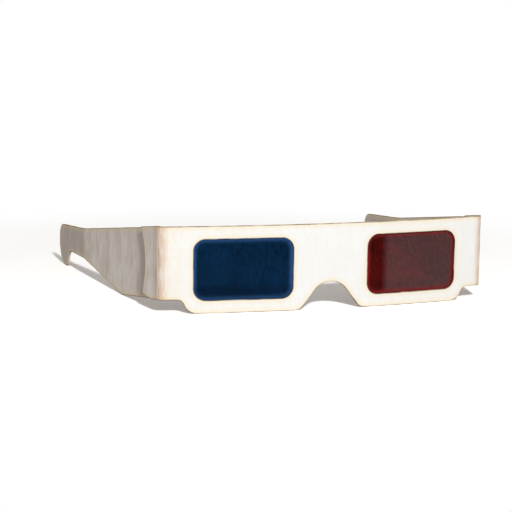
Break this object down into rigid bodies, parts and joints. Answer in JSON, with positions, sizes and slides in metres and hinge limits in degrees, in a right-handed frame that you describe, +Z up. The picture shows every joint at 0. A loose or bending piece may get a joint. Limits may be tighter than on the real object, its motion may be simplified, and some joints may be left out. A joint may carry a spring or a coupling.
{
  "type": "3d glasses",
  "caption": "Folding card glasses with a blue film and a red film in a bowed front, a nose notch, and creased arms that hook behind the ears, for viewing anaglyph pictures.",
  "frame": {"origin": "middle of the overall box, at the level of the table that the lobes and the hooks stand on", "axes": "+X to the wearer's left, +Y from the front to the back of the head, +Z up"},
  "size_m": [0.15, 0.1392, 0.034],
  "materials": {
    "card": "uncoated white board",
    "blue_film": "clear dyed film",
    "red_film": "clear dyed film",
    "glue": "dried paper glue"
  },
  "bodies": {
    "front": {"front_card": "card", "back_card": "card", "blue_filter": "blue_film", "red_filter": "red_film", "blue_filter_glue": "glue", "red_filter_glue": "glue", "bridge_glue": "glue", "right_end_glue": "glue", "left_end_glue": "glue", "right_fold": "card", "left_fold": "card"},
    "right_temple": {"right_tab": "card", "right_tab_glue": "glue", "right_arm": "card"},
    "left_temple": {"left_tab": "card", "left_tab_glue": "glue", "left_arm": "card"}
  },
  "joints": [
    {"name": "right_temple_fold", "type": "hinge", "parent": "front", "child": "right_temple", "pos_m": [-0.06581, -0.06094, 0.01975], "axis": [0, 0, -1], "range_deg": [-74, 94], "deforming": ["right_fold"]},
    {"name": "left_temple_fold", "type": "hinge", "parent": "front", "child": "left_temple", "pos_m": [0.06581, -0.06094, 0.01975], "axis": [0, 0, 1], "range_deg": [-74, 88], "deforming": ["left_fold"]}
  ]
}
